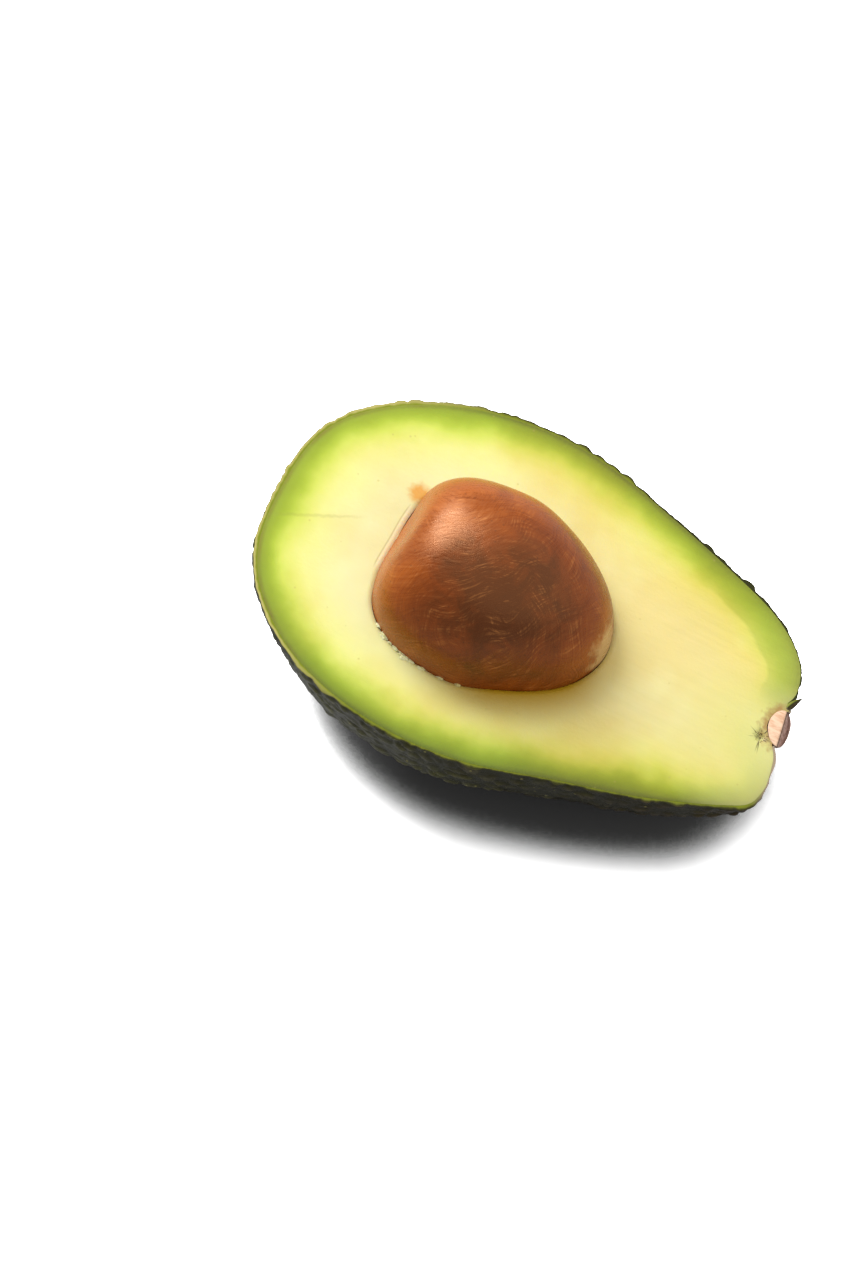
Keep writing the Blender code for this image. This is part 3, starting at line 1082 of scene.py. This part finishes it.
# %% Moist surface
moist = add_node(tree, "MapRange", {
    "Value": warm, "From Min": 0, "From Max": 1, "To Min": 0.36, "To Max": 0.5,
}).outputs["Result"]
tree.links.new(moist, shader.inputs["Roughness"])
grain = add_node(tree, "TexNoise", {"Vector": place, "Scale": 1 / 0.7, "Detail": 5}).outputs["Fac"]
grain = add_node(tree, "Math", {0: strands, 1: 0.4, 2: grain}, operation="MULTIPLY_ADD").outputs[0]
bump = add_node(tree, "Bump", {"Height": grain, "Strength": 0.3, "Distance": 0.1 * MM})
tree.links.new(bump.outputs["Normal"], shader.inputs["Normal"])
print("moist surface:", len(tree.nodes), "nodes so far")

# %% [markdown]
# ## The stone
#
# The stone is an egg with its point towards the stalk. It is turned all the way round, although its back is
# hidden, because it can be lifted out. Slow noise makes it lumpy by a third of a millimetre, and it goes
# through the same fuller and sunk places as its hollow.

# %% Model the stone
STONE_ROWS = 200
STONE_STEPS = 240
LUMP_SIZE = 13 * MM
LUMP_HEIGHT = 0.35 * MM

stone_mesh = bmesh.new()
stone_points = turn(stone_mesh, even_steps(stone_outside, STONE_ROWS), 2 * math.pi, STONE_STEPS)
stone_mesh.normal_update()
for vert in stone_points:
    vert.co += vert.normal * LUMP_HEIGHT * (noise.noise(vert.co / LUMP_SIZE) - 0.1)
place_stone(stone_points)
lay_down(stone_mesh)
stone = add_piece("stone", stone_mesh, "pit", "pit")

# %% [markdown]
# ## The stone's finish
#
# The stone wears a papery brown coat, which is smooth and satin while it is fresh. Its gloss takes the
# coat's own colour, so the highlight is a warm peach and not white. Painted shade makes the ground darkest
# on the crown's shady side and where the other side meets the flesh, and painted light makes it
# orange-brown towards the blunt end and the upper side, with clouds a few millimetres across.

# %% Satin seed coat
# The middle of the painted shade on the crown's shady side.
SHADED_PLACE = (-15, -7, -57)

seed_coat, shader = new_material(
    "satin_seed_coat", Specular_IOR_Level=0.95, Specular_Tint=linear("#FFBE88")
)
tree = seed_coat.node_tree
place = upright_mm(tree)
across = add_node(tree, "SeparateXYZ", {0: place}).outputs
stone.data.materials.append(seed_coat)

clouds_and_shading = add_node(tree, "TexNoise", {
    "Vector": place, "Scale": 1 / 7, "Detail": 6, "Roughness": 0.62, "Distortion": 0.6,
}).outputs["Fac"]
# Painted shade: the coat is darkest round that place.
from_shaded_place = add_node(tree, "VectorMath", {0: place, 1: SHADED_PLACE}, operation="DISTANCE").outputs["Value"]
from_shaded_place = add_node(tree, "Math", {0: from_shaded_place, 1: 22}, operation="MINIMUM").outputs[0]
clouds_and_shading = add_node(tree, "Math", {0: clouds_and_shading, 1: 26, 2: from_shaded_place}, operation="MULTIPLY_ADD").outputs[0]
# Painted light: the upper side and the blunt end face the window, so they are painted more orange.
lit_upper_side = add_node(tree, "MapRange", {
    "Value": across["Y"], "From Min": -19, "From Max": 17, "To Min": -4, "To Max": 3,
}).outputs["Result"]
clouds_and_shading = add_node(tree, "Math", {0: clouds_and_shading, 1: lit_upper_side}, operation="ADD").outputs[0]
lit_blunt_end = add_node(tree, "MapRange", {
    "Value": across["Z"], "From Min": -40, "From Max": -76, "To Min": -5, "To Max": 3,
}).outputs["Result"]
clouds_and_shading = add_node(tree, "Math", {0: clouds_and_shading, 1: lit_blunt_end}, operation="ADD").outputs[0]
# Painted shade: darker where the stone meets the flesh.
shade_near_flesh = add_node(tree, "MapRange", {
    "Value": across["X"], "From Min": -11, "From Max": -2, "To Min": 0, "To Max": -9,
}).outputs["Result"]
shade_near_flesh = add_node(tree, "MapRange", {
    "Value": across["Y"], "From Min": 2, "From Max": 9, "To Min": 0, "To Max": shade_near_flesh,
}).outputs["Result"]
clouds_and_shading = add_node(tree, "Math", {0: clouds_and_shading, 1: shade_near_flesh}, operation="ADD").outputs[0]
clouds_and_shading = add_node(tree, "MapRange", {
    "Value": clouds_and_shading, "From Min": 15, "From Max": 39,
}).outputs["Result"]
ground = add_node(tree, "ValToRGB", {"Fac": clouds_and_shading}, stops=(
    (0.05, "#4A1C04"), (0.35, "#74310A"), (0.6, "#8A400C"), (0.9, "#A35212"),
)).outputs["Color"]
print("satin seed coat:", len(tree.nodes), "nodes so far")

# %% [markdown]
# ## Fibres in the coat
#
# Fine fibres, a third of a millimetre wide, run over the coat in arcs and cross each other. A Wave texture
# would give rings that are all alike. Here, noise is wrapped round a spot instead: it changes fast outwards
# and slowly along the arcs, so the fibres start and stop, and a second one round another spot crosses the
# first. They show only in patches, light where they stand up and dark between. The real ones are finer, and
# are drawn this wide so that they show.

# %% Fibres
SWIRLS = (
    # round which spot, how fast the noise changes round it, a fibre's width in mm, a shift
    ((-10, 13, -69), 3.5, 0.35, 0),
    ((-10, -16, -48), 3, 0.4, 40),
)
fibres = []
for centre, round_scale, fibre_width, shift in SWIRLS:
    bend = add_node(tree, "TexNoise", {"Vector": place, "Scale": 1 / 11, "Detail": 1}).outputs["Color"]
    bent = add_node(tree, "VectorMath", {
        0: bend, 1: (9, 9, 9), 2: place,
    }, operation="MULTIPLY_ADD").outputs[0]
    centred = add_node(tree, "VectorMath", {0: bent, 1: centre}, operation="SUBTRACT").outputs[0]
    away = add_node(tree, "VectorMath", {0: centred}, operation="LENGTH").outputs["Value"]
    heading = add_node(tree, "VectorMath", {0: centred}, operation="NORMALIZE").outputs[0]
    away = add_node(tree, "Math", {
        0: away, 1: 1 / fibre_width, 2: shift,
    }, operation="MULTIPLY_ADD").outputs[0]
    away = add_node(tree, "CombineXYZ", {0: away}).outputs[0]
    wrapped = add_node(tree, "VectorMath", {
        0: heading, 1: (round_scale, round_scale, round_scale), 2: away,
    }, operation="MULTIPLY_ADD").outputs[0]
    fibre = add_node(tree, "TexNoise", {"Vector": wrapped, "Scale": 1, "Detail": 6, "Roughness": 0.68})
    fibres.append(fibre.outputs["Fac"])
fibres = add_node(tree, "Math", {0: fibres[0], 1: fibres[1]}, operation="ADD").outputs[0]
patchy = add_node(tree, "TexNoise", {"Vector": place, "Scale": 1 / 3.5, "Detail": 4}).outputs["Fac"]
patchy = add_node(tree, "MapRange", {
    "Value": patchy, "From Min": 0.38, "From Max": 0.65, "To Min": 0.08, "To Max": 0.6,
}).outputs["Result"]
light_fibres = add_node(tree, "MapRange", {
    "Value": fibres, "From Min": 1.05, "From Max": 1.3, "To Min": 0, "To Max": patchy,
}).outputs["Result"]
dark_fibres = add_node(tree, "MapRange", {
    "Value": fibres, "From Min": 0.98, "From Max": 0.6, "To Min": 0, "To Max": patchy,
}).outputs["Result"]
colour = add_node(tree, "Mix", {
    0: dark_fibres, 6: ground, 7: "#3C1406",
}, data_type="RGBA").outputs[MIX_RESULT]
colour = add_node(tree, "Mix", {
    0: light_fibres, 6: colour, 7: "#CC8446",
}, data_type="RGBA").outputs[MIX_RESULT]
print("fibres:", len(tree.nodes), "nodes so far")

# %% [markdown]
# ## Pores, the bare tip and the gloss
#
# Fine dark pores are scattered over the coat. It has worn off the pointed end on one side and shows the
# pale seed under it. The gloss is uneven, sharper between the fibres than on them, and they raise the
# surface very slightly, which breaks up the highlight.

# %% Pores, bare tip and satin gloss
PALE_TIP = (-3, -1.8, -35.5)

pores = add_node(tree, "TexVoronoi", {"Vector": place, "Scale": 1 / 1.3}).outputs["Distance"]
pores = add_node(tree, "MapRange", {
    "Value": pores, "From Min": 0.05, "From Max": 0.2, "To Min": 0.45, "To Max": 0,
}).outputs["Result"]
colour = add_node(tree, "Mix", {0: pores, 6: colour, 7: "#3A160A"}, data_type="RGBA").outputs[MIX_RESULT]

from_tip = add_node(tree, "VectorMath", {0: place, 1: PALE_TIP}, operation="DISTANCE").outputs["Value"]
pale_edge = add_node(tree, "TexNoise", {"Vector": place, "Scale": 1 / 3, "Detail": 6}).outputs["Fac"]
pale_edge = add_node(tree, "Math", {0: pale_edge, 1: 9, 2: -4.5}, operation="MULTIPLY_ADD").outputs[0]
from_tip = add_node(tree, "Math", {0: from_tip, 1: pale_edge}, operation="ADD").outputs[0]
bare = add_node(tree, "MapRange", {
    "Value": from_tip, "From Min": 2.6, "From Max": 4.8, "To Min": 0.85, "To Max": 0,
}).outputs["Result"]
colour = add_node(tree, "Mix", {0: bare, 6: colour, 7: "#C3A06A"}, data_type="RGBA").outputs[MIX_RESULT]
tree.links.new(colour, shader.inputs["Base Color"])

satin = add_node(tree, "MapRange", {
    "Value": fibres, "From Min": 0.8, "From Max": 1.2, "To Min": 0.2, "To Max": 0.45,
}).outputs["Result"]
tree.links.new(satin, shader.inputs["Roughness"])
raised = add_node(tree, "Math", {0: fibres, 1: clouds_and_shading}, operation="ADD").outputs[0]
bump = add_node(tree, "Bump", {"Height": raised, "Strength": 0.5, "Distance": 0.08 * MM})
tree.links.new(bump.outputs["Normal"], shader.inputs["Normal"])
print("pores, bare tip and satin gloss:", len(tree.nodes), "nodes so far")

# %% [markdown]
# ## The stalk's stub
#
# A short stub of the stalk is left in its seat. The knife went through it too, so its front is nearly flat
# and lies in the cut face, and a break slopes back from there to the rounded, barky end outside the fruit.
# It is turned whole. Its front half is then pressed flat, which keeps a closed shape where a cut would need
# filling.

# %% Model the stalk's stub
STALK_ROWS = 70
STALK_STEPS = 120
CROWN = 0.07
CHAMFER_DEPTH = 1.9 * MM
BARK_EDGE = 0.5 * MM

stalk_mesh = bmesh.new()
bark = stalk_mesh.verts.layers.float.new("bark")
stalk_outside = even_steps(smooth_outline(STALK_OUTLINE), STALK_ROWS)
stalk_points = turn(stalk_mesh, stalk_outside, 2 * math.pi, STALK_STEPS)
for vert in stalk_points:
    if vert.co.x < MERGE_DISTANCE:
        vert.co.x *= CROWN
        sloped = max(0, vert.co.z + CHAMFER_DEPTH)
        vert.co.x += sloped
        vert[bark] = ease(sloped, 0, BARK_EDGE)
    else:
        vert[bark] = 1
    vert.co.z -= STALK_LEAN * vert.co.y
    vert.co.y += STALK_SIDE_OFFSET
lay_down(stalk_mesh)
stalk = add_piece("cut_stalk", stalk_mesh, "stem", "stem_stump")

# %% [markdown]
# ## Wood and bark
#
# The cut wood is pale pink with faint streaks along the stalk. The bark outside it is a dull mauve-brown,
# with a dark line between the two where the wood has dried. Both are dry, so there is hardly any gloss.

# %% Pale wood and bark of the stalk
stalk_wood, shader = new_material("cut_stalk_wood_and_bark")
tree = stalk_wood.node_tree
place = upright_mm(tree)
stalk.data.materials.append(stalk_wood)
bark_mark = add_node(tree, "Attribute", attribute_name="bark").outputs["Fac"]
streaks = add_node(tree, "Mapping", {"Vector": place, "Scale": (2, 2, 0.5)}).outputs[0]
streaks = add_node(tree, "TexNoise", {"Vector": streaks, "Scale": 1, "Detail": 4}).outputs["Fac"]
wood = add_node(tree, "ValToRGB", {"Fac": streaks}, stops=((0.35, "#C79A78"), (0.6, "#E3BFA0")))
bark_tone = add_node(tree, "ValToRGB", {"Fac": streaks}, stops=((0.3, "#8E7064"), (0.65, "#BCA094")))
edge = add_node(tree, "ValToRGB", {"Fac": bark_mark}, stops=(
    (0.0, "#FFFFFF"), (0.1, "#FFFFFF"), (0.45, "#4A3028"), (0.9, "#FFFFFF"),
)).outputs["Color"]
colour = add_node(tree, "Mix", {
    0: bark_mark, 6: wood.outputs["Color"], 7: bark_tone.outputs["Color"],
}, data_type="RGBA").outputs[MIX_RESULT]
colour = add_node(tree, "Mix", {
    0: 1.0, 6: colour, 7: edge,
}, data_type="RGBA", blend_type="MULTIPLY").outputs[MIX_RESULT]
tree.links.new(colour, shader.inputs["Base Color"])
shader.inputs["Roughness"].default_value = 0.62
bump = add_node(tree, "Bump", {"Height": streaks, "Strength": 0.5, "Distance": 0.1 * MM})
tree.links.new(bump.outputs["Normal"], shader.inputs["Normal"])
print("pale wood and bark of the stalk:", len(tree.nodes), "nodes so far")

# %% [markdown]
# ## A torn sliver of skin
#
# Twisting the halves apart leaves torn bits, which are too small for solids of their own in the measured
# model. This one is a sliver of skin that stands up beside the stalk. It starts as a sphere, which is drawn
# out between two ends, tapered and bowed.

# %% Model the torn sliver of skin
FLAP_ROOT = Vector((0.1, 4.9, -2.5)) * MM
FLAP_TIP = Vector((-0.2, 8.2, -0.8)) * MM
FLAP_WIDTH = 0.9 * MM
FLAP_THICKNESS = 0.45 * MM
FLAP_TAPER = 0.75
FLAP_BOW = 0.5 * MM

flap_mesh = bmesh.new()
flap_mesh.verts.layers.float.new("crease")
into_skin = flap_mesh.verts.layers.float.new("into_skin")
bmesh.ops.create_uvsphere(flap_mesh, u_segments=32, v_segments=24, radius=1)
flap_along = (FLAP_TIP - FLAP_ROOT).normalized()
flap_across = flap_along.cross(Vector((1, 0, 0)))
for vert in flap_mesh.verts:
    sideways, forwards, along = vert.co.x, vert.co.y, (vert.co.z + 1) / 2
    taper = 1 - FLAP_TAPER * along
    vert[into_skin] = ease(sideways, -0.2, 0.5)
    vert.co = FLAP_ROOT.lerp(FLAP_TIP, along)
    vert.co += flap_across * sideways * FLAP_WIDTH * taper + Vector((forwards * FLAP_THICKNESS * taper, 0, 0))
    vert.co += flap_across * FLAP_BOW * along * (1 - along)
lay_down(flap_mesh)
flap = add_piece("torn_skin", flap_mesh, "skin")
flap.data.materials.append(avocado_skin)

# %% [markdown]
# ## Crumbs of flesh
#
# Flat crumbs of flesh, a millimetre or so across, lie along the stone's lower edge. Each is a small sphere,
# made lumpy with noise of its own and squashed. They take the flesh's material, so they carry its distances
# from the edges as well.

# %% Model the crumbs of flesh
CRUMBS = (
    # place in the upright fruit, half its width, in mm
    ((0, -15.8, -72.3), 0.4), ((0, -17.0, -70.7), 0.55), ((0, -17.7, -69.2), 0.3),
    ((0, -18.3, -68.0), 0.45), ((0, -18.9, -66.2), 0.6), ((0, -19.3, -64.6), 0.3),
    ((0, -19.6, -62.6), 0.4), ((0, -19.5, -58.9), 0.3), ((0, -19.2, -55.7), 0.35),
)
CRUMB_LUMPS = 1.5
CRUMB_ROUGHNESS = 0.9

crumb_mesh = bmesh.new()
crumb_marks = {"from_skin": FAR_AWAY, "from_stone": 3, "from_stalk": FAR_AWAY}
marks = [(crumb_mesh.verts.layers.float.new(name), far) for name, far in crumb_marks.items()]
for place, half_width in CRUMBS:
    flattened = Matrix.Diagonal((0.4 * half_width * MM, half_width * MM, 1.6 * half_width * MM, 1))
    moved = Matrix.Translation(Vector(place) * MM) @ flattened
    made = bmesh.ops.create_icosphere(crumb_mesh, subdivisions=4, radius=1)["verts"]
    for vert in made:
        vert.co *= 1 + CRUMB_ROUGHNESS * noise.noise(vert.co * CRUMB_LUMPS + Vector(place))
        for mark, far in marks:
            vert[mark] = far
    bmesh.ops.transform(crumb_mesh, matrix=moved, verts=made)
lay_down(crumb_mesh)
crumbs = add_piece("flesh_crumbs", crumb_mesh, "flesh")
crumbs.data.materials.append(avocado_flesh)

# %% [markdown]
# ## The floor
#
# The fruit lies on white paper that is lit until it has no tone of its own, with a short, soft shadow.
# Paper that is bright enough for that would light the fruit's underside too much. So it is bright for the
# camera only and a mid grey for the light that bounces off it, and ambient occlusion, which finds the
# places that the fruit shields, draws the shadow.

# %% Floor
FLOOR_SIDE = 4
BRIGHT_FOR_CAMERA = 2.8
BRIGHT_FOR_BOUNCES = 0.4
SHADOW_REACH = 0.02

floor_mesh = bmesh.new()
bmesh.ops.create_grid(floor_mesh, x_segments=1, y_segments=1, size=FLOOR_SIDE / 2)
mesh = bpy.data.meshes.new("floor")
floor_mesh.to_mesh(mesh)
floor_mesh.free()
floor = bpy.data.objects.new("floor", mesh)
bpy.context.scene.collection.objects.link(floor)
paper, shader = new_material("white_paper")
shader.inputs["Roughness"].default_value = 0.9
seen = add_node(paper.node_tree, "LightPath").outputs["Is Camera Ray"]
whiteness = add_node(paper.node_tree, "MapRange", {
    "Value": seen, "To Min": BRIGHT_FOR_BOUNCES, "To Max": BRIGHT_FOR_CAMERA,
}).outputs["Result"]
nearness = add_node(paper.node_tree, "AmbientOcclusion", {
    "Distance": SHADOW_REACH,
}, samples=32).outputs["AO"]
nearness = add_node(paper.node_tree, "MapRange", {
    "Value": nearness, "From Min": 0.48, "From Max": 0.78, "To Min": 0.03, "To Max": 1,
}, interpolation_type="SMOOTHSTEP").outputs["Result"]
whiteness = add_node(paper.node_tree, "Math", {0: whiteness, 1: nearness}, operation="MULTIPLY").outputs[0]
paper.node_tree.links.new(whiteness, shader.inputs["Base Color"])
shader.inputs["Specular IOR Level"].default_value = 0
mesh.materials.append(paper)
print("floor:", FLOOR_SIDE, "m across, with", len(paper.node_tree.nodes), "nodes")

# %% [markdown]
# ## The light
#
# A dim white dome stands for a pale room. A large window, up and to the left, gives the stone its highlight
# and the flesh beside it a soft shadow, and a broad ceiling light fills in from the other side. Both are
# Sun lights, because a Sun's angle sets how large the light looks, wherever the fruit is.

# %% Light
DOME_STRENGTH = 0.5
BACKDROP_STRENGTH = 1.1
world = bpy.data.worlds.new("studio")
world.use_nodes = True
bpy.context.scene.world = world
tree = world.node_tree
seen = add_node(tree, "LightPath").outputs["Is Camera Ray"]
strength = add_node(tree, "MapRange", {
    "Value": seen, "To Min": DOME_STRENGTH, "To Max": BACKDROP_STRENGTH,
}).outputs["Result"]
background = tree.nodes["Background"]
background.inputs["Color"].default_value = (1, 1, 1, 1)
tree.links.new(strength, background.inputs["Strength"])


def add_skylight(name, toward, width, strength):
    """A soft light from one direction. Its width is an angle in degrees."""
    light = bpy.data.lights.new(name, "SUN")
    light.angle = math.radians(width)
    light.energy = strength
    lamp = bpy.data.objects.new(name, light)
    bpy.context.scene.collection.objects.link(lamp)
    lamp.rotation_euler = Vector(toward).to_track_quat("Z", "Y").to_euler()


add_skylight("window", (-0.64, 0.44, 0.62), 36, 3.5)
add_skylight("ceiling", (0.45, 0.15, 1), 110, 1.2)
print("lights:", ", ".join(light.name for light in bpy.data.lights))

# %% [markdown]
# ## The camera
#
# The camera looks down steeply from in front, through a long lens, so that the far end hardly shrinks.

# %% Camera
CAMERA_AZIMUTH = math.radians(22.2)
CAMERA_ELEVATION = math.radians(60.4)
CAMERA_DISTANCE = 1.012
LENS = 163
SENSOR_WIDTH = 36
AIM_LEFT = 18.1 * MM
AIM_DOWN = 5.65 * MM

camera_data = bpy.data.cameras.new("camera")
camera = bpy.data.objects.new("camera", camera_data)
bpy.context.scene.collection.objects.link(camera)
camera_data.lens = LENS
camera_data.sensor_width = SENSOR_WIDTH
back = Vector((
    math.sin(CAMERA_AZIMUTH) * math.cos(CAMERA_ELEVATION),
    -math.cos(CAMERA_AZIMUTH) * math.cos(CAMERA_ELEVATION),
    math.sin(CAMERA_ELEVATION),
))
right = Vector((math.cos(CAMERA_AZIMUTH), math.sin(CAMERA_AZIMUTH), 0))
up = back.cross(right)
looked_at = laid_down @ Vector((0, 0, -FRUIT_LENGTH / 2))
camera.location = looked_at + back * CAMERA_DISTANCE
aim = looked_at - right * AIM_LEFT - up * AIM_DOWN
camera.rotation_euler = (camera.location - aim).to_track_quat("Z", "Y").to_euler()
bpy.context.scene.camera = camera
bpy.context.scene.view_settings.view_transform = "Standard"
print("the camera stands at, in m:", [round(side, 2) for side in camera.location])
